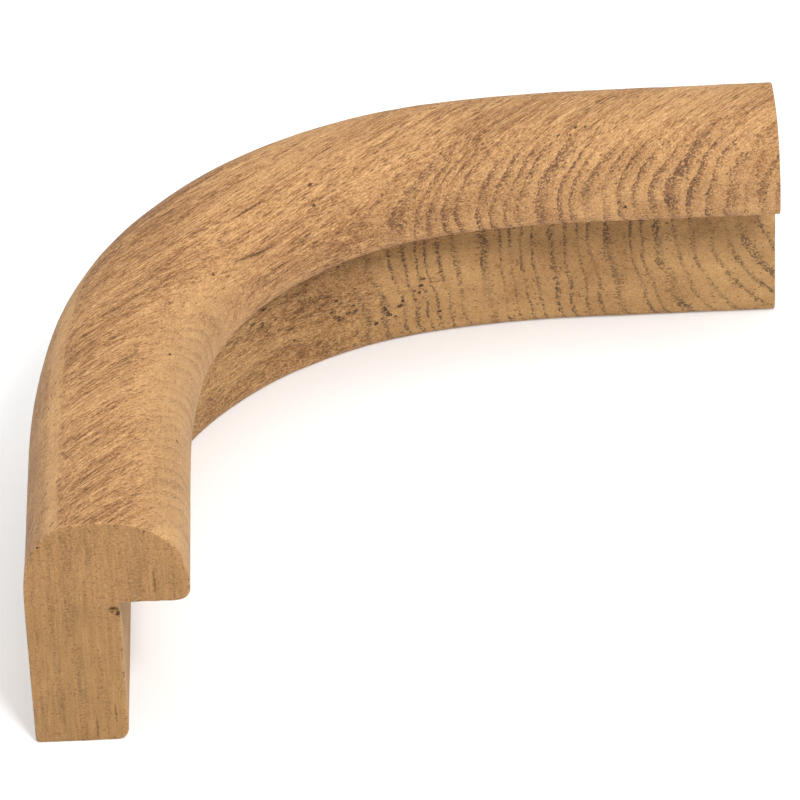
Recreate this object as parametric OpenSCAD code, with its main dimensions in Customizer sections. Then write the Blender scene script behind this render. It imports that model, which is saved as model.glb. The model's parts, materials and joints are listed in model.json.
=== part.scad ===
// Outside corner of a rebated wooden grab rail, millimetres, +Z up.
//
// One solid timber block is shaped to a single moulded section that turns a square
// corner: an oval head for the hand, over a plain stem. The head overhangs the stem on
// the concave side, and the step under it takes the edge of a panel or a counter top.
// Each arm starts with a straight leg, eases through a slack arc and meets the other arm
// in the tighter corner arc. Both ends are cut square, where straight rails butt on.
//
// Origin: middle of the plan's outer rectangle, at the underside of the stem.
// One arm runs towards -Y and the other towards +X.

/* [Section] */
// Height from the underside of the stem to the top of the head
height = 50; // [42:0.5:60]
// Thickness of the stem, and of the head from the stem's inner face outwards
stem_t = 17.4; // [12:0.1:24]
// Reach of the head past the stem's inner face
overhang = 13.2; // [8:0.1:20]
// Height of the step under the head, from the underside of the stem
rebate_h = 31.75; // [20:0.25:31.75]

/* [Head] */
// Height at which the outer side starts to round over
outer_spring_h = 31; // [20:0.5:38]
// Height at which the inner side starts to round over
inner_spring_h = 34.2; // [34.2:0.2:38]
// Distance of the crown from the stem's inner face, outwards
crown_offset = 3.1; // [0:0.1:8]
// Fullness of the outer shoulder, where 2 is a plain ellipse
outer_fullness = 2.78; // [2:0.02:4]
// Fullness of the inner shoulder, where 2 is a plain ellipse
inner_fullness = 2.46; // [2:0.02:4]

/* [Arrises] */
// Radius of the head's lower inner edge
nose_r = 2.4; // [0.4:0.1:2.4]
// Radius of the stem's lower inner edge
inner_foot_r = 2.2; // [0.4:0.1:4]
// Radius of the stem's lower outer edge
outer_foot_r = 1; // [0.4:0.1:4]

/* [Plan] */
// Straight length of each leg
leg_l = 40.3; // [20:0.1:120]
// Radius of the corner arc, at the stem's inner face
bend_r = 74.5; // [50:0.5:120]
// Radius of the slack arc that eases each leg into the corner, at the stem's inner face
ease_r = 155; // [120:1:300]
// Angle that each slack arc turns through
ease_a = 10.5; // [2:0.5:20]

/* [Smoothness] */
// Flats on each quarter of the head's oval
oval_steps = 12; // [6:1:16]
// Flats on each rounded arris
arris_steps = 4; // [2:1:6]

/* [Hidden] */
$fn = 180;
teak = [0.70, 0.51, 0.33];

corner_a = 90;
grid = 0.001;
// Arc centres of the near arm, from the corner arc's own centre
centre_shift = ease_r - bend_r;
ease_x = centre_shift * cos(ease_a);
ease_y = -centre_shift * sin(ease_a);
// The near leg: its inner face, and its square end
face_x = ease_x - ease_r;
end_y = ease_y - leg_l;
// Middle of the plan's outer rectangle, which both arms share
middle = ((face_x - stem_t) - end_y) / 2;

// Points of an arc from angle a0 to a1 about the centre c
function arc(c, r, a0, a1, steps) =
    [for (i = [0:steps]) let (a = a0 + (a1 - a0) * i / steps) c + r * [cos(a), sin(a)]];

// Points of one shoulder of the head, on a superellipse of fullness n that springs
// upright at spring_h and ends just short of the crown. side is -1 for the outer one.
function shoulder(side, reach, spring_h, n, steps) =
    [for (i = steps)
        let (a = 90 * i / oval_steps)
        [side * reach * pow(cos(a), 2 / n) - crown_offset,
         spring_h + (height - spring_h) * pow(sin(a), 2 / n)]];

// The moulded section: X across the rail, from the stem's inner face towards the
// concave side, and Y up. It starts at the outer foot and goes round by the head.
section_outline = concat(
    arc([outer_foot_r - stem_t, outer_foot_r], outer_foot_r, 270, 180, arris_steps),
    shoulder(-1, stem_t - crown_offset, outer_spring_h, outer_fullness,
             [0:oval_steps - 1]),
    [[-crown_offset, height]],
    shoulder(1, overhang + crown_offset, inner_spring_h, inner_fullness,
             [oval_steps - 1:-1:0]),
    arc([overhang - nose_r, rebate_h + nose_r], nose_r, 0, -90, arris_steps),
    [[0, rebate_h]],
    arc([-inner_foot_r, inner_foot_r], inner_foot_r, 0, -90, arris_steps));

module section() {
    polygon(section_outline);
}

// A stretch of rail bent to radius r at the stem's inner face, between two angles
module bent(r, from, to) {
    rotate_extrude(angle = to - from, start = from)
        translate([r, 0]) mirror([1, 0]) section();
}

// Moves by v in a coarse step and a fine one. Each step then needs few digits, so that
// the end faces of neighbouring stretches meet exactly and fuse.
module place(v) {
    coarse = [for (c = v) round(c / grid) * grid];
    translate(coarse) translate(v - coarse) children();
}

// The near arm: a straight leg from its square end, then the slack arc
module arm() {
    place([face_x, ease_y, 0]) rotate([90, 0, 0]) linear_extrude(leg_l) section();
    place([ease_x, ease_y, 0]) bent(ease_r, 2 * corner_a - ease_a, 2 * corner_a);
}

module corner_rail() {
    color(teak)
        translate([-middle, middle, 0])
            union() {
                arm();
                mirror([1, 1, 0]) arm();
                bent(bend_r, corner_a + ease_a, 2 * corner_a - ease_a);
            }
}

corner_rail();
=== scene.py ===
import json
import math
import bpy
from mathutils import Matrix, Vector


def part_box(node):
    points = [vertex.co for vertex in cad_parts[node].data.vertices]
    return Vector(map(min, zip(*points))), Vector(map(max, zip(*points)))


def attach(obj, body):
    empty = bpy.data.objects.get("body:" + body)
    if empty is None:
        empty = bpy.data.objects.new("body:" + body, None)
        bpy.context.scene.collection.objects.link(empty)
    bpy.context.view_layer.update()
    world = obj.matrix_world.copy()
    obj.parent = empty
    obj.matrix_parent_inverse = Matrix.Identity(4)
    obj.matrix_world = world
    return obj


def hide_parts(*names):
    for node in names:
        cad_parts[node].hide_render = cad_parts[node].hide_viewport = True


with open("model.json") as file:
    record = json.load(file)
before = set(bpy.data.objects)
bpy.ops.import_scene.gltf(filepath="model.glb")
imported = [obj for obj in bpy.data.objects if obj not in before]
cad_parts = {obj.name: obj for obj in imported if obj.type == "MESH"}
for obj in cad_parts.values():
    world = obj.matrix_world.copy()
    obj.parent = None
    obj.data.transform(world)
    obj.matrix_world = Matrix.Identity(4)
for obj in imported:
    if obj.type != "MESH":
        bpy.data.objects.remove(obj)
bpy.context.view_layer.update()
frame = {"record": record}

# Looks of a rebated grab rail's corner: one solid block of raw, sanded teak.
# The rail and the camera are in millimetres up to the last step, where they become metres.
# The floor and the lights are in metres. X runs out of one square end, -Y out of the
# other, and Z is up.

from types import SimpleNamespace

import bpy
import numpy as np
from mathutils import Euler, Vector, noise
from mathutils.geometry import delaunay_2d_cdt

NODE = "corner_rail"
MM = 0.001

# ---------------------------------------------------------------- sizes from the frame

MOUNTS = {mount["name"]: mount for mount in frame["record"]["mounts"]}


def mount_at(name, axis):
    """One coordinate of a mount's place, in millimetres."""
    return MOUNTS[name]["pos_m"][axis] / MM


BOX_LOW, BOX_HIGH = [[c / MM for c in corner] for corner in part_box(NODE)]
HALF = BOX_HIGH[0]                            # from the origin to either square end
HEIGHT = BOX_HIGH[2]
FACE = mount_at("near_panel_edge", 0)         # the near leg's inner stem face, in X
REBATE_H = mount_at("near_panel_seat", 2)
STEM_T = FACE - BOX_LOW[0]

# The rest of the section and the plan, as the CAD part has them
OVERHANG = 13.2
OUTER_SPRING_H = 31.0
INNER_SPRING_H = 34.2
CROWN_OFFSET = 3.1
OUTER_FULLNESS = 2.78
INNER_FULLNESS = 2.46
NOSE_R = 2.4
INNER_FOOT_R = 2.2
OUTER_FOOT_R = 1.0
INNER_CORNER_R = 0.35                         # the cutter's own small radius in the step
LEG_L = 40.3
BEND_R = 74.5
EASE_R = 155.0
EASE_A = math.radians(10.5)
BEND_A = math.radians(90) - 2 * EASE_A

# ---------------------------------------------------------------- the wood's own frame

# Fibres run along the chord of the corner. Growth rings stand nearly upright on it.
FIBRE = Vector((1, 1, 0)).normalized()
FIBRE_TURN = math.radians(-45)                # turns the fibres onto X

# ---------------------------------------------------------------- mesh fineness

ALONG_STEP = 0.66
AROUND_STEP = 0.60
CAP_STEP = 0.62
OUTER_SHOULDER_L = 27.5                       # about how long each shoulder's outline is
INNER_SHOULDER_L = 26.0
SHOULDER_SAMPLES = 600                        # from which its even steps are picked


# ================================================================= the section

def arc_points(centre, radius, start, end, count):
    """Points (outwards, up) and their normals on an arc, angles in degrees."""
    points = []
    for i in range(count):
        angle = math.radians(start + (end - start) * i / count)
        normal = (math.cos(angle), math.sin(angle))
        points.append((centre[0] + radius * normal[0], centre[1] + radius * normal[1], normal))
    return points


def line_points(start, end, normal, count):
    """Points from start to just before end."""
    return [
        (start[0] + (end[0] - start[0]) * i / count, start[1] + (end[1] - start[1]) * i / count, normal)
        for i in range(count)
    ]


def shoulder_points(side, reach, spring_h, fullness, count):
    """Even steps over a superelliptic shoulder, from its upright spring to the crown."""
    rise = HEIGHT - spring_h
    fine = []
    for i in range(SHOULDER_SAMPLES + 1):
        angle = math.radians(90) * i / SHOULDER_SAMPLES
        across = reach * math.cos(angle) ** (2 / fullness)
        up = rise * math.sin(angle) ** (2 / fullness)
        slope = (
            side * (across / reach) ** (fullness - 1) / reach,
            (up / rise) ** (fullness - 1) / rise,
        )
        size = math.hypot(*slope)
        normal = (slope[0] / size, slope[1] / size)
        fine.append((CROWN_OFFSET + side * across, spring_h + up, normal))
    gone = [0.0]
    for a, b in zip(fine, fine[1:]):
        gone.append(gone[-1] + math.dist(a[:2], b[:2]))
    picks = [np.searchsorted(gone, gone[-1] * i / count) for i in range(count)]
    return [fine[min(pick, SHOULDER_SAMPLES)] for pick in picks]


def steps_for(length):
    """How many even steps a stretch of the section has."""
    return max(2, round(length / AROUND_STEP))


def section():
    """The moulded section, seen with outwards to +X: from the outer foot up, over the head,
    down to the nose, under it to the step's corner, down the stem and along its foot."""
    quarter = math.pi / 2
    points = arc_points(
        (STEM_T - OUTER_FOOT_R, OUTER_FOOT_R), OUTER_FOOT_R, -90, 0, steps_for(quarter * OUTER_FOOT_R) + 1)
    points += line_points(
        (STEM_T, OUTER_FOOT_R), (STEM_T, OUTER_SPRING_H), (1, 0), steps_for(OUTER_SPRING_H - OUTER_FOOT_R))
    points += shoulder_points(
        1, STEM_T - CROWN_OFFSET, OUTER_SPRING_H, OUTER_FULLNESS, steps_for(OUTER_SHOULDER_L))
    inner = shoulder_points(
        -1, OVERHANG + CROWN_OFFSET, INNER_SPRING_H, INNER_FULLNESS, steps_for(INNER_SHOULDER_L))
    points += [(CROWN_OFFSET, HEIGHT, (0, 1))] + inner[:0:-1]
    points += arc_points(
        (NOSE_R - OVERHANG, REBATE_H + NOSE_R), NOSE_R, 180, 270, steps_for(quarter * NOSE_R) + 1)
    points += line_points(
        (NOSE_R - OVERHANG, REBATE_H), (-INNER_CORNER_R, REBATE_H), (0, -1),
        steps_for(OVERHANG - NOSE_R - INNER_CORNER_R))
    hollow = arc_points(
        (-INNER_CORNER_R, REBATE_H - INNER_CORNER_R), INNER_CORNER_R, 90, 0, 3)
    points += [(x, z, (-n[0], -n[1])) for x, z, n in hollow]
    points += line_points(
        (0, REBATE_H - INNER_CORNER_R), (0, INNER_FOOT_R), (-1, 0), steps_for(REBATE_H - INNER_FOOT_R))
    points += arc_points(
        (INNER_FOOT_R, INNER_FOOT_R), INNER_FOOT_R, 180, 270, steps_for(quarter * INNER_FOOT_R) + 1)
    points += line_points(
        (INNER_FOOT_R, 0), (STEM_T - OUTER_FOOT_R, 0), (0, -1),
        steps_for(STEM_T - INNER_FOOT_R - OUTER_FOOT_R))
    return points


# ================================================================= the plan

END_ARRIS_ROWS = (0.0, 0.1, 0.25, 0.5, 0.8)   # distances from a square end, for its worn edge
CLEAR_OF_ARRIS = END_ARRIS_ROWS[-1] + 0.2     # where the evenly spaced rows start


def path():
    """Rows along the stem's inner face, from the near end to the right end. Each row is
    (x, y, outward x, outward y, distance gone, distance left)."""
    stretches = [
        (LEG_L, None), (EASE_R * EASE_A, EASE_R), (BEND_R * BEND_A, BEND_R),
        (EASE_R * EASE_A, EASE_R), (LEG_L, None)]
    total = sum(length for length, _ in stretches)
    outer_share = (BEND_R + STEM_T / 2) / BEND_R  # the bend's rows are spaced on its middle
    x, y, heading, gone = FACE, -HALF, math.radians(90), 0.0
    rows = []
    for number, (length, radius) in enumerate(stretches):
        share = 1.0 if radius is None else outer_share
        count = round(length * share / ALONG_STEP)
        places = [length * i / count for i in range(count)]
        if number == 0:
            places = list(END_ARRIS_ROWS) + [p for p in places if p > CLEAR_OF_ARRIS]
        if number == len(stretches) - 1:
            places = [p for p in places if p < length - CLEAR_OF_ARRIS]
            places += [length - d for d in END_ARRIS_ROWS[::-1]]
        for place in places:
            if radius is None:
                at = (x + math.cos(heading) * place, y + math.sin(heading) * place, heading)
            else:
                at = turned(x, y, heading, radius, place / radius)
            outward = (-math.sin(at[2]), math.cos(at[2]))
            rows.append((at[0], at[1], *outward, gone + place, total - gone - place))
        if radius is None:
            x, y = x + math.cos(heading) * length, y + math.sin(heading) * length
        else:
            x, y, heading = turned(x, y, heading, radius, length / radius)
        gone += length
    return rows


def turned(x, y, heading, radius, angle):
    """The place and heading after a right turn through angle on a circle of that radius."""
    centre_x, centre_y = x + radius * math.sin(heading), y - radius * math.cos(heading)
    end = heading - angle
    return centre_x - radius * math.sin(end), centre_y + radius * math.cos(end), end


# ================================================================= places on the surface

STEM_FACE_H = REBATE_H - INNER_CORNER_R


def places_around(outline):
    """How far round the section each of its points is, from the step's inner corner: positive
    out under the head and over it, negative down the stem."""
    gone = [0.0]
    for a, b in zip(outline, outline[1:]):
        gone.append(gone[-1] + math.dist(a[:2], b[:2]))
    corner = min(range(len(outline)), key=lambda i: math.dist(outline[i][:2], (0, REBATE_H)))
    return [gone[corner] - g for g in gone]


def surface_point(along, around):
    """The point that far along the rail from its near end, and that far round its section."""
    outline, rows = section(), path()
    arounds = places_around(outline)
    x, y, out_x, out_y, _, _ = min(rows, key=lambda row: abs(row[4] - along))
    out, up, _ = outline[min(range(len(outline)), key=lambda i: abs(arounds[i] - around))]
    return Vector((x + out * out_x, y + out * out_y, up))


# ================================================================= surface relief

def grain_noise(point, along, across, seed=0.0):
    """Noise stretched along the fibres, from -1 to 1. along and across are its grain sizes."""
    fibrewise = (point[0] + point[1]) * math.sqrt(0.5)
    ringwise = (point[1] - point[0]) * math.sqrt(0.5)
    return noise.noise(Vector((fibrewise / along + seed, ringwise / across, point[2] / across - seed)))


def relief(point, normal):
    """How far the surface stands off the true section, in millimetres: slow waves left by
    the moulder and the sander, and raised grain where the surface lies along the fibres."""
    along_fibre = abs(normal[0] + normal[1]) * math.sqrt(0.5)
    side_grain = 1 - min(1.0, along_fibre * 1.3)
    waves = 0.10 * noise.noise(Vector(point) / 21.0)
    ridges = 0.07 * grain_noise(point, 9.0, 1.5, 3.7) + 0.05 * grain_noise(point, 14.0, 2.9, 8.1)
    return waves + ridges * (0.25 + 0.75 * side_grain)


def end_inset(around, near_end):
    """Radius of a square end's worn edge at a place round the section. It is most ragged on
    the near end's hollow side."""
    seed = 0.0 if near_end else 50.0
    ragged = 0.14 * noise.noise(Vector((around / 2.3, 0.5, seed)))
    ragged += 0.08 * noise.noise(Vector((around / 0.9, 7.5, seed)))
    if near_end and -STEM_FACE_H < around < 0:
        ragged *= 2.2
    return max(0.10, 0.32 + ragged)


def rail_mesh():
    """Vertices and faces for the rail with its two end faces."""
    outline, rows = section(), path()
    count = len(outline)
    arounds = places_around(outline)
    points, faces = [], []
    for x, y, out_x, out_y, gone, left in rows:
        from_end = min(gone, left)
        for (out, up, (n_out, n_up)), around in zip(outline, arounds):
            normal = (n_out * out_x, n_out * out_y, n_up)
            place = (x + out * out_x, y + out * out_y, up)
            push = relief(place, normal)
            worn = end_inset(around, near_end=gone < left)
            if from_end < worn:
                push -= worn - math.sqrt(worn ** 2 - (worn - from_end) ** 2)
            points.append(tuple(p + push * n for p, n in zip(place, normal)))
    for row in range(len(rows) - 1):
        for i in range(count):
            j = (i + 1) % count
            a, b = row * count, (row + 1) * count
            faces.append((a + i, a + j, b + j, b + i))
    add_cap(points, faces, range(count), (0, -1, 0), [CHIP])
    last = (len(rows) - 1) * count
    add_cap(points, faces, range(last, last + count), (1, 0, 0), [])
    return points, faces


def add_cap(points, faces, ring, normal, chips):
    """Closes one end with a fine flat net of triangles, waved slightly by the saw and broken
    out by its chips."""
    across_axis = 0 if normal[0] == 0 else 1
    ring = list(ring)
    flat = [Vector((points[i][across_axis], points[i][2])) for i in ring]
    inner = grid_inside(flat, CAP_STEP)
    for chip in chips:
        inner += [p for p in chip_points(chip) if inside(p, flat)]
    verts, _, tris, origins, _, _ = delaunay_2d_cdt(flat + inner, [], [list(range(len(flat)))], 1, 1e-6)
    plane = points[ring[0]][1 - across_axis]
    number = {}
    for i, (vert, origin) in enumerate(zip(verts, origins)):
        known = [o for o in origin if o < len(flat)]
        if known:
            number[i] = ring[known[0]]
            continue
        place = [0.0, 0.0, vert.y]
        place[across_axis] = vert.x
        place[1 - across_axis] = plane
        wave = 0.05 * noise.noise(Vector((vert.x / 3.1, vert.y / 6.0, 2.5)))
        wave -= sum(chip_depth(chip, vert) for chip in chips)
        number[i] = len(points)
        points.append(tuple(p + wave * n for p, n in zip(place, normal)))
    for tri in tris:
        corners = [number[i] for i in tri]
        a, b, c = (Vector(points[i]) for i in corners)
        if (b - a).cross(c - a).dot(Vector(normal)) < 0:
            corners.reverse()
        faces.append(tuple(corners))


# A chip in the near end face, under the rebate: centre across and up, half sizes, depth
CHIP = (-57.7, 30.0, 1.25, 0.95, 0.65)


def chip_points(chip):
    """Extra points of the net, in rings, so that a chip has a crisp rim."""
    x, z, half_x, half_z, _ = chip
    turns = [i * math.pi / 7 for i in range(14)]
    return [
        Vector((x + share * half_x * math.cos(turn), z + share * half_z * math.sin(turn)))
        for share in (0.3, 0.62, 0.86, 1.0) for turn in turns]


def chip_depth(chip, spot):
    """How deep a chip is at a spot of the end face."""
    x, z, half_x, half_z, depth = chip
    away = math.hypot((spot.x - x) / half_x, (spot.y - z) / half_z)
    return depth * min(1.0, max(0.0, 1.0 - away) * 3)


def grid_inside(outline, step):
    """Points of a staggered grid that lie inside an outline, clear of its edge."""
    xs, ys = [p.x for p in outline], [p.y for p in outline]
    found = []
    row_step = step * 0.87                        # close to even triangles
    rows = int((max(ys) - min(ys)) / row_step)
    for row in range(1, rows):
        y = min(ys) + row * row_step
        x = min(xs) + (row % 2) * step / 2
        while x < max(xs):
            spot = Vector((x, y))
            if inside(spot, outline) and min((spot - p).length for p in outline) > step * 0.6:
                found.append(spot)
            x += step
    return found


def inside(spot, outline):
    """Whether a spot lies inside a closed outline."""
    crossings = False
    for a, b in zip(outline, outline[1:] + outline[:1]):
        if (a.y > spot.y) != (b.y > spot.y):
            if spot.x < (b.x - a.x) * (spot.y - a.y) / (b.y - a.y) + a.x:
                crossings = not crossings
    return crossings


# ================================================================= materials

class Graph:
    """A short way to write a material's nodes. Inputs are sockets or plain values."""

    def __init__(self, name):
        self.material = bpy.data.materials.new(name)
        self.material.use_nodes = True
        self.tree = self.material.node_tree
        self.tree.nodes.clear()

    def node(self, kind, inputs=None, **settings):
        made = self.tree.nodes.new(kind)
        for name, value in settings.items():
            setattr(made, name, value)
        for key, value in (inputs or {}).items():
            if isinstance(value, bpy.types.NodeSocket):
                self.tree.links.new(value, made.inputs[key])
            else:
                made.inputs[key].default_value = value
        return made

    def math(self, operation, *values):
        return self.node("ShaderNodeMath", dict(enumerate(values)), operation=operation).outputs[0]

    def vector(self, operation, *vectors, output=0):
        made = self.node("ShaderNodeVectorMath", dict(enumerate(vectors)), operation=operation)
        return made.outputs[output]

    def add(self, *values):
        total = values[0]
        for value in values[1:]:
            total = self.math("ADD", total, value)
        return total

    def times(self, *values):
        total = values[0]
        for value in values[1:]:
            total = self.math("MULTIPLY", total, value)
        return total

    def centred(self, value, size):
        """A 0 to 1 value moved to swing evenly round 0, by size in all."""
        return self.times(self.math("SUBTRACT", value, 0.5), size)

    def step(self, value, low, high, to_low=0.0, to_high=1.0):
        """A smooth step from to_low at low to to_high at high."""
        made = self.node(
            "ShaderNodeMapRange",
            {"Value": value, "From Min": low, "From Max": high, "To Min": to_low, "To Max": to_high},
            interpolation_type="SMOOTHSTEP")
        return made.outputs[0]

    def join(self, x, y, z):
        return self.node("ShaderNodeCombineXYZ", {0: x, 1: y, 2: z}).outputs[0]

    def scaled(self, vector, sizes, shift=(0, 0, 0)):
        """A vector measured in the given sizes, so that noise of scale 1 has those grain sizes."""
        shrink = [1 / size for size in sizes]
        made = self.node("ShaderNodeMapping", {"Vector": vector, "Location": shift, "Scale": shrink})
        return made.outputs[0]

    def noise(self, vector, detail=2.0, roughness=0.5, scale=1.0):
        made = self.node(
            "ShaderNodeTexNoise",
            {"Vector": vector, "Scale": scale, "Detail": detail, "Roughness": roughness})
        return made.outputs["Fac"]

    def drift(self, vector, amounts, scale=1.0, detail=2.0):
        """A vector that wanders smoothly round zero, by the given amounts."""
        made = self.node("ShaderNodeTexNoise", {"Vector": vector, "Scale": scale, "Detail": detail})
        even = self.vector("SUBTRACT", made.outputs["Color"], (0.5, 0.5, 0.5))
        return self.vector("MULTIPLY", even, amounts)

    def cells(self, vector):
        """Distance from the middle of scattered cells, and three random values for each cell."""
        made = self.node("ShaderNodeTexVoronoi", {"Vector": vector, "Scale": 1.0})
        lots = self.node("ShaderNodeSeparateColor", {0: made.outputs["Color"]}).outputs
        return made.outputs["Distance"], lots

    def blend(self, factor, a, b, mode="MIX"):
        """Colour a where factor is 0, b (or a times b) where it is 1."""
        made = self.node("ShaderNodeMix", {0: factor, 6: a, 7: b}, data_type="RGBA", blend_type=mode)
        return made.outputs[2]

    def blend_value(self, factor, a, b):
        """Value a where factor is 0, b where it is 1."""
        return self.add(a, self.times(factor, self.math("SUBTRACT", b, a)))

    def ramp(self, factor, stops):
        """A colour ramp over (place, colour) stops."""
        made = self.node("ShaderNodeValToRGB", {0: factor})
        elements = made.color_ramp.elements
        for i, (place, colour) in enumerate(stops):
            element = elements[i] if i < 2 else elements.new(place)
            element.position = place
            element.color = colour
        return made.outputs[0]


def srgb(red, green, blue):
    """A colour given on the usual 0 to 255 display scale, as scene-linear RGBA."""
    def linear(value):
        value /= 255
        return value / 12.92 if value <= 0.04045 else ((value + 0.055) / 1.055) ** 2.4
    return (linear(red), linear(green), linear(blue), 1.0)


TONES = [
    (0.00, srgb(88, 56, 30)),
    (0.25, srgb(138, 96, 57)),
    (0.50, srgb(175, 132, 87)),
    (0.75, srgb(201, 156, 105)),
    (1.00, srgb(232, 191, 130)),
]
PIT_COLOUR = srgb(64, 42, 28)
VEIN_COLOUR = srgb(78, 50, 33)
COOL_COLOUR = srgb(122, 108, 74)              # faint green-grey streaks down a sawn end
BURNISHED_COLOUR = srgb(184, 146, 98)         # where the cutters ran smooth on the flanks
STEM_TINT = (0.95, 0.99, 0.95, 1)             # the stem is sanded less, and duller
STEM_RING_COLOUR = srgb(68, 54, 44)           # and its rings are greyer than the head's

RING_WIDTH = 2.35                             # of the ring at the origin
RING_NARROWING = 0.02                         # per millimetre towards the outside of the bend
RING_UPRIGHT_H = 36.0                         # the rings stand plumb at this height
DARK_LAYER_AND_SHADE = (45.0, 17.0)                     # a dark layer of the wood, also painted shade under the head at the bend: place across, height

# Single marks in the wood: how far along the rail from its near end, how far round the section
# from the step's inner corner, and half of their length and width along and across the fibres
MARKS = [
    (128, 31.5, 0.50, 0.32),                  # pits on the head, round the bend
    (126, 27.5, 0.45, 0.28),
    (91, 27.5, 0.50, 0.30),
    (183.5, 32.5, 0.36, 0.20),                # a row of pits on the head of the right leg
    (185.6, 32.6, 0.34, 0.19),
    (187, 34, 0.50, 0.24),
    (189, 34, 0.36, 0.20),
    (196, 16.5, 0.45, 0.30),                  # torn grain on its nose
    (195, 18, 0.36, 0.22),
    (150, -23, 0.75, 0.42),                   # pits on the stem, round the bend
    (151, -21.5, 0.50, 0.30),
    (145, -26, 0.60, 0.40),
    (154.5, -20.5, 0.45, 0.30),
    (159, -16.5, 0.50, 0.25),
    (158.5, -26, 0.50, 0.28),
    (125.5, -20, 0.60, 0.28),
    (126, -23, 0.40, 0.26),
    (34, 24.5, 0.35, 0.28),                   # pits on the near leg's hollow side
    (59, 28, 0.32, 0.24),
    (15.5, 25, 0.32, 0.24),
]
VEINS = [                                     # thin dark sheets along the fibres, with a third size
    (104.0, 25.0, 6.5, 0.20, 3.0),            # on the head at the bend
    (112.0, 33.0, 5.0, 0.20, 3.0),
    (2.6, 49, 2.6, 0.22, 0.22),               # a split at the near end's outer edge
]
PIT_GROUPS = [                                # where small pits stand close together on the stem
    (138, -19, 4.5, 4.0),
    (147, -24, 5.0, 2.2),
    (154, -20, 2.5, 3.0),
    (137, -7, 5.0, 5.0),
    (117, -15, 4.0, 4.0),
]
TORN_PATCHES = [                              # where the dark pores tore open on the right leg's head
    (206, 21, 7.5, 6.5),
    (194, 16, 4.0, 3.0),
    (178, 18, 6.0, 4.0),
]
END_MARKS = [                                 # the chip and small nicks in the near end's edge, painted dark; in the chip the dark is partly its torn wood, partly painted shade in its hollow
    (-58.0, 30.1, 0.80),
    (-57.0, 29.4, 0.60),
    (-45.8, 44.3, 0.24),
    (-51.2, 47.8, 0.20),
    (-56.5, 49.3, 0.18),
    (-70.8, 45.2, 0.28),
]
END_VEINS = [                                 # dark strokes down the near end: x, z, half width, height
    (-58.9, 6.2, 0.17, 2.8),
    (-62.5, 3.0, 0.16, 2.8),
    (-50.0, 36.6, 0.18, 3.2),
    (-43.6, 38.0, 0.12, 2.8),
]


def nearness(g, place, spots):
    """How near a place in the wood is to the nearest of some spots, below 1 inside one. Each
    spot is a point and its half sizes along the fibres, across them and up."""
    nearest = None
    for centre, sizes in spots:
        here = centre.copy()
        here.rotate(Euler((0, 0, FIBRE_TURN)))
        away = g.vector("DIVIDE", g.vector("SUBTRACT", place, tuple(here)), sizes)
        away = g.vector("LENGTH", away, output="Value")
        nearest = away if nearest is None else g.math("MINIMUM", nearest, away)
    return nearest


def reach_mask(g, place, groups):
    """1 in the middle of each group's reach, fading to 0 outside."""
    spots = [
        (surface_point(along, around), (reach, wide, wide)) for along, around, reach, wide in groups]
    return g.step(nearness(g, place, spots), 1.25, 0.45)


def single_marks(g, place):
    """Masks of the pits, single and in groups, and of the veins."""
    loose = g.vector("ADD", place, g.drift(place, (0.8, 0.55, 0.55), scale=2.2, detail=1.0))
    pits = [(surface_point(along, around), (long, wide, wide)) for along, around, long, wide in MARKS]
    # the near end's chip and nicks join the pits; the chip's dark is partly painted shade in its hollow
    pits += [(Vector((x, -HALF, z)), (size, size, size)) for x, z, size in END_MARKS]
    veins = [(surface_point(along, around), sizes) for along, around, *sizes in VEINS]
    veins += [(Vector((x, -HALF, z)), (3.0, wide, tall)) for x, z, wide, tall in END_VEINS]
    pit = g.step(nearness(g, loose, pits), 1.15, 0.70)
    vein = g.step(nearness(g, loose, veins), 1.20, 0.50)

    distance, lots = g.cells(g.scaled(loose, (1.7, 0.80, 0.80)))
    open_pit = g.math("LESS_THAN", lots[1], g.times(reach_mask(g, place, PIT_GROUPS), 0.75))
    spare = g.math("SUBTRACT", distance, g.times(lots[2], lots[2], 0.40))
    small_pit = g.times(g.step(spare, 0.22, 0.02), open_pit)
    return g.math("MAXIMUM", pit, g.times(small_pit, 0.90)), vein


# ----------------------------------------------------------------- the layers of the teak

def wood_places(g, dullness):
    """Where a point of the surface lies in the wood, in millimetres, and how the surface cuts
    the fibres there. Zones run from 0 to 1."""
    w = SimpleNamespace()
    place = g.node("ShaderNodeTexCoord").outputs["Object"]
    to_mm = (1 / MM, 1 / MM, 1 / MM)
    w.rail = g.node("ShaderNodeMapping", {"Vector": place, "Scale": to_mm}).outputs[0]
    turn = {"Vector": place, "Rotation": (0, 0, FIBRE_TURN), "Scale": to_mm}
    w.straight = g.node("ShaderNodeMapping", turn).outputs[0]
    wander = g.drift(g.scaled(w.straight, (60, 16, 22)), (0.0, 4.5, 4.5))
    w.grain = g.vector("ADD", w.straight, wander)
    w.length, w.radial, w.height = g.node("ShaderNodeSeparateXYZ", {0: w.grain}).outputs
    true_height = g.node("ShaderNodeSeparateXYZ", {0: w.straight}).outputs[2]
    w.on_head = g.step(true_height, REBATE_H - 1.0, REBATE_H + 1.0)
    w.near_arm = g.step(w.length, 25.0, -20.0)
    w.right_arm = g.step(w.length, -15.0, 30.0, 0.25 + 0.75 * dullness, 1.0)

    facing = g.node("ShaderNodeNewGeometry").outputs["Normal"]
    along = g.vector("DOT_PRODUCT", facing, tuple(FIBRE), output="Value")
    w.side_grain = g.step(g.math("ABSOLUTE", along), 0.70, 0.10)
    w.against = g.step(along, 0.40, -0.10)        # where the cutters ran against the fibres
    w.outer_flank = g.step(along, -0.27, -0.36)
    w.inner_flank = g.step(along, 0.02, 0.62)
    w.pale_band = g.times(                        # on the crown's outer side
        g.step(along, -0.26, -0.32), g.step(along, -0.50, -0.42),
        g.step(true_height, INNER_SPRING_H, INNER_SPRING_H + 8.0))
    return w


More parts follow.
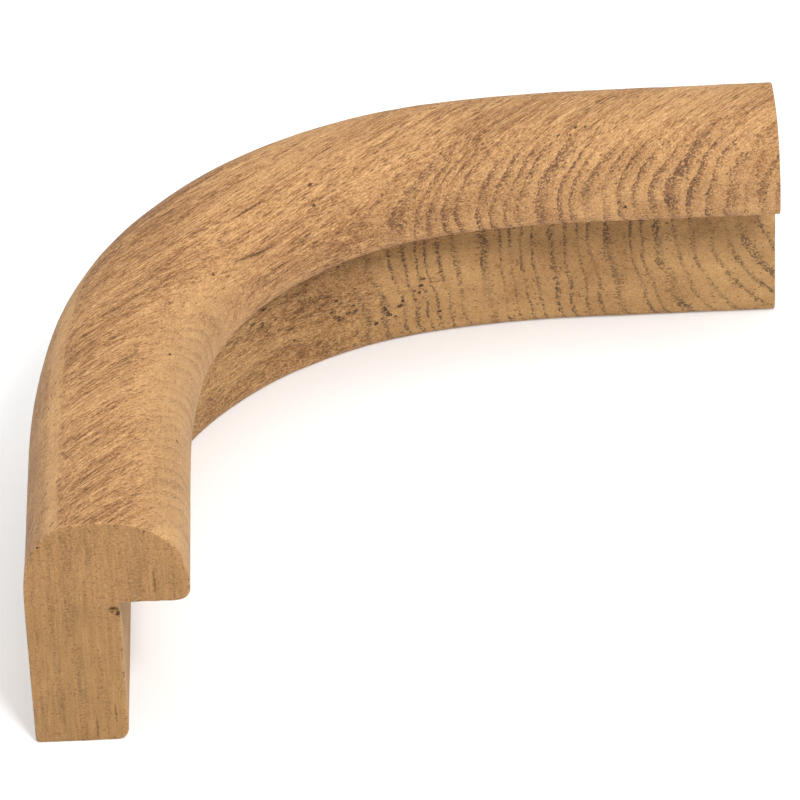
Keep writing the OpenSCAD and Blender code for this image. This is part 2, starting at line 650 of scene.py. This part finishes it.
def ring_layers(g, w, contrast, dullness):
    """Growth rings: upright sheets of open pores, which lean more towards the hollow side of
    the block. On the head they are wide dotted bands, elsewhere thin rows of dashes."""
    even = 1.0 - dullness
    moulded = 1.0 if dullness == 0 else 0.0
    lean = g.times(
        g.math("EXPONENT", g.times(g.add(w.radial, 6.0), -1 / 20)),
        g.step(w.length, -60.0, 60.0, 0.0010, 0.0065))
    drop = g.math("SUBTRACT", RING_UPRIGHT_H, w.height)
    place = g.add(w.radial, g.times(lean, drop, drop))
    spread = g.math("LOGARITHM", g.add(RING_WIDTH, g.times(place, -RING_NARROWING)), math.e)
    uneven = g.centred(g.noise(g.join(0.0, g.times(place, 1 / 6), 4.0), 1.0), 2.4)
    jitter = g.centred(g.noise(g.scaled(w.grain, (14, 6, 6)), 1.0), 0.5)
    ragged = g.centred(g.noise(g.scaled(w.grain, (2.5, 0.6, 0.6)), 1.0), 0.40)
    ring = g.math("FRACT", g.add(g.times(spread, -1 / RING_NARROWING), uneven, jitter, ragged))

    r = SimpleNamespace()
    r.wide_band = g.step(ring, 0.25, 0.95)
    r.thin_band = g.times(g.step(ring, 0.62, 0.84), g.step(ring, 1.0, 0.96))
    patchy = g.step(g.noise(g.scaled(w.grain, (30, 8, 10), (5, 2, 9)), 2.0), 0.34, 0.60, 0.35, 1.0)
    cut_across = g.step(w.side_grain, 0.95, 0.30, 0.15, 1.0)
    seen = g.add(w.right_arm, g.times(w.inner_flank, w.near_arm, 0.20 * even))
    r.strength = g.times(patchy, seen, cut_across, contrast)

    clump = g.noise(g.scaled(w.grain, (1.5, 0.34, 0.34)), 1.0, 0.6)
    glint = g.noise(g.scaled(w.grain, (1.5, 0.36, 0.36), (8, 1, 5)), 1.0, 0.6)
    blot = g.noise(g.scaled(w.grain, (2.6, 0.50, 0.42), (2, 2, 6)), 2.0, 0.7)
    torn_open = g.times(reach_mask(g, w.straight, TORN_PATCHES), even)
    dots = g.add(clump, g.times(r.wide_band, 0.14), g.times(torn_open, 0.03))
    head_mark = g.times(
        g.step(dots, 0.575, 0.640), r.wide_band, g.step(w.radial, -22.0, -10.0, 0.45, 1.0))
    stem_mark = g.times(g.step(blot, 0.45, 0.53), r.thin_band)
    r.mark = g.times(g.blend_value(g.times(w.on_head, moulded), stem_mark, head_mark), r.strength)
    r.glint = g.step(glint, 0.54, 0.64)
    return r


def fibre_layers(g, w, fuzz):
    """Noise drawn out along the fibres at several sizes, and how far the cutters and the
    sander tore them up, which is most where the surface runs along them."""
    f = SimpleNamespace()
    f.broad = g.noise(g.scaled(w.grain, (80, 7.5, 8.5), (1, 8, 3)), 3.0, 0.55)
    f.streak = g.noise(g.scaled(w.grain, (24, 0.95, 0.95), (3, 1, 7)), 4.0, 0.62)
    f.fibre = g.noise(g.scaled(w.grain, (3.2, 0.34, 0.34)), 2.0, 0.6)
    f.dust = g.noise(g.scaled(w.grain, (0.6, 0.26, 0.26), (9, 4, 2)), 1.0, 0.5)
    # dark and pale hairs where the fibres are torn: partly their own colour, partly painted shadow and
    # painted highlight on raised fibres
    f.dark_hair = g.step(g.noise(g.scaled(w.grain, (8.0, 0.30, 0.30), (5, 5, 1)), 1.0), 0.60, 0.70)
    f.pale_hair = g.step(g.noise(g.scaled(w.grain, (4.5, 0.30, 0.30), (1, 7, 6)), 1.0), 0.61, 0.71)
    f.chain = g.step(g.noise(g.scaled(w.grain, (22, 0.75, 0.75), (7, 7, 7)), 1.0), 0.56, 0.70)
    rough_patch = g.step(
        g.noise(g.scaled(w.grain, (26, 9, 9), (2, 6, 1)), 1.0), 0.35, 0.62, 0.6, 1.0)
    f.torn = g.times(
        g.add(0.22, g.times(w.side_grain, 0.78)), rough_patch, g.add(0.35, g.times(w.against, 0.65)),
        g.math("SUBTRACT", 1.0, g.times(w.pale_band, w.near_arm, 0.6)), fuzz)
    return f


def dark_layer_and_shade(g, w, fibre, even):
    """A darker layer of the wood, which comes out at the bend on the stem's hollow side, painted darker
    still as shade under the head there: how far a point is in it, and its smears."""
    layer_in = g.times(g.math("SUBTRACT", w.radial, DARK_LAYER_AND_SHADE[0]), 1 / 6.0)
    layer_up = g.times(g.math("SUBTRACT", w.height, DARK_LAYER_AND_SHADE[1]), 1 / 15.0)
    away = g.add(g.times(layer_in, layer_in), g.times(layer_up, layer_up))
    shaded_layer = g.times(g.math("EXPONENT", g.times(away, -1.0)), g.step(w.length, -4.0, 8.0), even)
    smear = g.noise(g.scaled(w.grain, (6.0, 2.2, 2.6), (4, 9, 1)), 2.0, 0.6)
    return shaded_layer, g.times(shaded_layer, g.step(g.add(smear, g.centred(fibre, 0.4)), 0.50, 0.64))


def pore_mask(g, w, r, f, shaded_smears):
    """Open pores: short dashes along the fibres, in chains, and more of them in the rings."""
    distance, lots = g.cells(g.scaled(w.grain, (3.2, 0.55, 0.55)))
    banded = g.times(g.blend_value(w.on_head, r.thin_band, r.wide_band), r.strength)
    chance = g.add(0.12, g.times(f.chain, 0.42), g.times(banded, 0.65), g.times(shaded_smears, 0.45))
    return g.times(g.step(distance, 0.44, 0.18), g.math("LESS_THAN", lots[0], chance))


def teak(name, tint, ring_colour, pore_colour, ring_contrast, fuzz, dullness):
    """Raw teak. fuzz is how far the sander left fibres standing, dullness how much a sawn
    face evens its colours out."""
    g = Graph(name)
    even = 1.0 - dullness
    w = wood_places(g, dullness)
    r = ring_layers(g, w, ring_contrast, dullness)
    f = fibre_layers(g, w, fuzz)
    shaded_layer, shaded_smears = dark_layer_and_shade(g, w, f.fibre, even)
    pore = pore_mask(g, w, r, f, shaded_smears)
    pit, vein = single_marks(g, w.straight)
    off_head = g.math("SUBTRACT", 1.0, w.on_head)

    # marks of the tools: up and down a sawn end, along the near leg's smooth flanks
    scratch = g.noise(g.scaled(w.rail, (0.45, 0.45, 6.0), (3, 3, 3)), 2.0, 0.6)
    cool = g.step(g.noise(g.scaled(w.rail, (0.9, 0.9, 12.0), (1, 5, 2)), 2.0, 0.5), 0.48, 0.66)
    tooled = g.noise(g.scaled(w.rail, (0.55, 15.0, 0.55), (6, 2, 6)), 2.0, 0.6)

    # how strongly the fibres show on the stem and on the head
    fibre_seen = g.blend_value(
        w.on_head, g.step(w.side_grain, 0.0, 1.0, 0.45, 1.05),
        g.add(1.0, g.times(r.strength, -0.35 * even)))
    dust_seen = g.blend_value(w.on_head, g.step(w.side_grain, 0.0, 1.0, 0.70, 1.30), 1.0)
    # streaks show more where the fibres are torn, partly as painted highlight and painted shadow on raised
    # fibres
    streak_seen = g.times(
        g.add(0.38, g.times(f.torn, 0.56)), g.add(0.58, g.times(w.on_head, 0.42)))

    tone = g.add(
        0.56,
        g.times(f.torn, -0.08),
        g.centred(f.broad, 0.62 * even),
        g.times(w.near_arm, -0.08 * even),
        g.times(g.centred(f.streak, 0.95 * even), streak_seen),
        # where the fibres are torn, darker and paler hairs: partly their own colour, partly painted shadow
        # and painted highlight on raised fibres
        g.times(f.dark_hair, f.torn, -0.20),
        g.times(f.pale_hair, f.torn, 0.16),
        g.times(w.pale_band, w.near_arm, 0.09 * even),
        g.times(g.centred(f.fibre, 1.0), g.add(0.35 * even + 0.32, g.times(f.torn, 0.38)), fibre_seen),
        g.times(g.centred(f.dust, 0.36 * even + 0.42), dust_seen),
        g.centred(scratch, 0.70 * dullness),
        g.times(
            g.centred(tooled, 0.40 * even), g.add(w.inner_flank, w.outer_flank), w.near_arm, w.on_head),
        g.times(r.strength, w.on_head, -0.03 * even),
        g.times(r.wide_band, r.strength, w.on_head, -0.11 * even),
        g.times(r.glint, r.wide_band, r.strength, w.on_head, 0.22 * even),
        # painted shade under the head at the bend, together with a darker layer of the wood and its smears
        g.times(g.add(g.times(shaded_layer, 0.30), g.times(shaded_smears, 0.70)), -0.26))

    burnished = g.times(
        g.add(g.times(w.inner_flank, 0.30), g.times(w.outer_flank, 0.10), g.times(w.pale_band, 0.15)),
        w.near_arm, even, g.add(0.7, w.on_head))
    pore_seen = g.math("SUBTRACT", 1.0, g.times(w.inner_flank, w.near_arm, 0.6))
    vein_seen = g.times(vein, g.step(f.fibre, 0.30, 0.50), 0.4 + 0.5 * even)
    colour = g.blend(1.0, g.ramp(tone, TONES), tint, "MULTIPLY")
    colour = g.blend(burnished, colour, BURNISHED_COLOUR)
    colour = g.blend(g.times(cool, 0.22 * dullness), colour, COOL_COLOUR)
    colour = g.blend(g.times(off_head, even), colour, STEM_TINT, "MULTIPLY")
    ring_tone = g.blend(g.times(off_head, even), ring_colour, STEM_RING_COLOUR)
    colour = g.blend(g.times(r.mark, 0.76), colour, ring_tone)
    colour = g.blend(g.times(pore, pore_seen, 0.30 + 0.35 * even), colour, pore_colour)
    colour = g.blend(vein_seen, colour, VEIN_COLOUR)
    # dark pits, and the near end's chip, whose dark is partly painted shade in its hollow
    colour = g.blend(g.times(pit, 0.88), colour, PIT_COLOUR)

    rise = g.add(
        g.times(g.centred(f.fibre, 1.3), g.add(0.25, f.torn)),
        g.times(g.centred(f.streak, 1.8), g.add(0.2, f.torn)),
        g.centred(f.dust, 0.45),
        g.times(pore, -0.5),
        g.times(pit, -2.0),
        g.times(r.mark, -0.25))
    relief_inputs = {"Height": rise, "Strength": 1.0, "Distance": 0.16 * MM}
    bump = g.node("ShaderNodeBump", relief_inputs).outputs[0]
    rough = g.step(g.add(f.fibre, g.centred(f.streak, 0.4)), 0.2, 0.8, 0.66, 0.9)
    shader = g.node("ShaderNodeBsdfPrincipled", {
        "Base Color": colour, "Roughness": rough, "Normal": bump,
        "IOR": 1.5, "Specular IOR Level": 0.25, "Sheen Weight": 0.04, "Sheen Roughness": 0.6})
    g.node("ShaderNodeOutputMaterial", {"Surface": shader.outputs[0]})
    return g.material


def plain(name, colour, roughness, glow):
    """A matt surface of one colour, with some light of its own."""
    g = Graph(name)
    shader = g.node("ShaderNodeBsdfPrincipled", {
        "Base Color": colour, "Roughness": roughness,
        "Emission Color": (1, 1, 1, 1), "Emission Strength": glow})
    g.node("ShaderNodeOutputMaterial", {"Surface": shader.outputs[0]})
    return g.material


# ================================================================= the rail

def build_rail():
    points, faces = rail_mesh()
    mesh = bpy.data.meshes.new("teak_corner")
    mesh.from_pydata([[c * MM for c in p] for p in points], [], faces)
    mesh.update()
    mesh.validate()
    rail = bpy.data.objects.new("teak_corner", mesh)
    bpy.context.collection.objects.link(rail)
    mesh.materials.append(teak(
        "teak_moulded", tint=(1, 1, 1, 1), ring_colour=srgb(78, 49, 42), pore_colour=srgb(88, 60, 40),
        ring_contrast=1.0, fuzz=1.0, dullness=0.0))
    mesh.materials.append(teak(
        "teak_sawn", tint=(0.865, 0.845, 0.765, 1), ring_colour=srgb(104, 84, 58),
        pore_colour=srgb(126, 68, 40), ring_contrast=0.65, fuzz=0.1, dullness=0.6))
    moulded_faces = sum(1 for face in faces if len(face) == 4)    # the sawn ends are triangles
    slots = [0] * moulded_faces + [1] * (len(mesh.polygons) - moulded_faces)
    mesh.polygons.foreach_set("material_index", slots)
    mesh.polygons.foreach_set("use_smooth", [True] * len(slots))
    return rail


rail = build_rail()
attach(rail, "root")
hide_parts(NODE)

# ================================================================= floor, light and camera

FLOOR_HALF = 2.5                              # metres


def build_floor():
    mesh = bpy.data.meshes.new("floor")
    corners = [(x * FLOOR_HALF, y * FLOOR_HALF, 0) for x, y in ((-1, -1), (1, -1), (1, 1), (-1, 1))]
    mesh.from_pydata(corners, [], [(0, 1, 2, 3)])
    floor = bpy.data.objects.new("floor", mesh)
    bpy.context.collection.objects.link(floor)
    mesh.materials.append(plain("lit_floor", (0.72, 0.72, 0.72, 1), 0.9, glow=0.26))
    return floor


build_floor()


def soft_light(name, place, size, power):
    """A square softbox that faces the object. Its place and size are in metres, its power in
    watts."""
    lamp = bpy.data.lights.new(name, "AREA")
    lamp.size = size
    lamp.energy = power
    holder = bpy.data.objects.new(name, lamp)
    holder.location = place
    towards = Vector((0, 0, HEIGHT * MM / 2)) - Vector(place)
    holder.rotation_euler = towards.to_track_quat("-Z", "Y").to_euler()
    bpy.context.collection.objects.link(holder)


soft_light("key", (0.50, -1.0, 1.32), 0.36, 22.0)
soft_light("overhead", (0.1, 0.1, 1.4), 1.4, 15.0)
soft_light("right", (1.5, -0.1, 0.55), 0.7, 5.5)
soft_light("left", (-1.3, -0.4, 1.1), 0.9, 4.5)
soft_light("back", (-0.9, 1.0, 0.9), 0.9, 4.5)

world = bpy.data.worlds.new("studio")
world.use_nodes = True
world.node_tree.nodes["Background"].inputs["Color"].default_value = (1, 1, 1, 1)
world.node_tree.nodes["Background"].inputs["Strength"].default_value = 0.12
bpy.context.scene.world = world
bpy.context.scene.view_settings.view_transform = "Standard"

# The camera looks along +Y from above, and leans a little
VIEW_AZIMUTH = math.radians(-0.19)
VIEW_ELEVATION = math.radians(35.23)
VIEW_ROLL = math.radians(-2.395)
VIEW_DISTANCE = 1100.0
VIEW_TARGET = (-3.62, -39.31, HEIGHT)
LENS = 265.7
SENSOR = 36.0


def build_camera():
    lens = bpy.data.cameras.new("camera")
    lens.lens = LENS
    lens.sensor_width = SENSOR
    lens.clip_end = 20.0
    camera = bpy.data.objects.new("camera", lens)
    back = Vector((
        math.sin(VIEW_AZIMUTH) * math.cos(VIEW_ELEVATION),
        -math.cos(VIEW_AZIMUTH) * math.cos(VIEW_ELEVATION),
        math.sin(VIEW_ELEVATION)))
    camera.location = (Vector(VIEW_TARGET) + back * VIEW_DISTANCE) * MM
    turn = back.to_track_quat("Z", "Y")
    camera.rotation_euler = (turn @ Euler((0, 0, VIEW_ROLL)).to_quaternion()).to_euler()
    bpy.context.collection.objects.link(camera)
    bpy.context.scene.camera = camera


build_camera()
